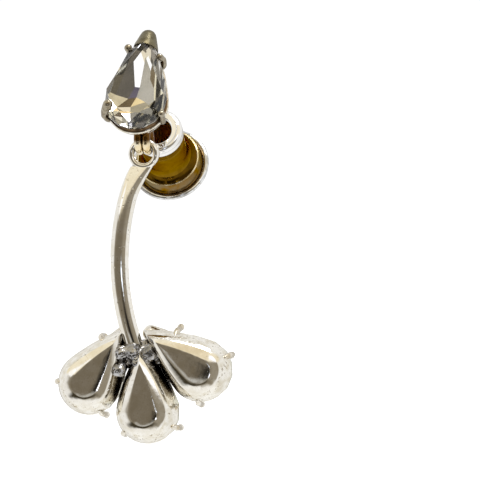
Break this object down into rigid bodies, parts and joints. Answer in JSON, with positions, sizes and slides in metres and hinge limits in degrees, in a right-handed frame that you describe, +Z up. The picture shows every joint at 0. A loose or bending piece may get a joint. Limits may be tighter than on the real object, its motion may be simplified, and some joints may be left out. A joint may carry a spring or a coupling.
{
  "type": "drop earring",
  "caption": "Pierced-ear drop earring: clear pear crystal stud with an ear clutch, and a curved silver bar with pear cups set like a flower",
  "frame": {"origin": "the middle of the ear lobe, on the axis of the post", "axes": "+Z up, +Y to the back of the ear, +X to the viewer's right"},
  "size_m": [0.0186, 0.0214, 0.0422],
  "materials": {
    "setting_silver": "polished",
    "stud_crystal": "faceted",
    "collar_chrome": "polished",
    "dish_brass": "polished",
    "shell_silver": "polished",
    "drop_silver": "cast, lightly mottled",
    "petal_crystal": "faceted"
  },
  "bodies": {
    "stud": {"stud_setting": "setting_silver", "stud_stone": "stud_crystal"},
    "clutch": {"clutch_collar": "collar_chrome", "clutch_dish": "dish_brass", "clutch_shell": "shell_silver"},
    "drop": {"drop_bar": "drop_silver", "petal_stone_left": "petal_crystal", "petal_stone_centre": "petal_crystal", "petal_stone_right": "petal_crystal"}
  },
  "joints": [
    {"name": "drop_swing", "type": "hinge", "parent": "stud", "child": "drop", "pos_m": [-0.00014, -0.00365, -0.00249], "axis": [1, 0, 0], "range_deg": [-60, 50]},
    {"name": "clutch_slide", "type": "slide", "parent": "stud", "child": "clutch", "axis": [0, 0.9063, -0.4226], "range_m": [-0.0025, 0.0065]}
  ]
}
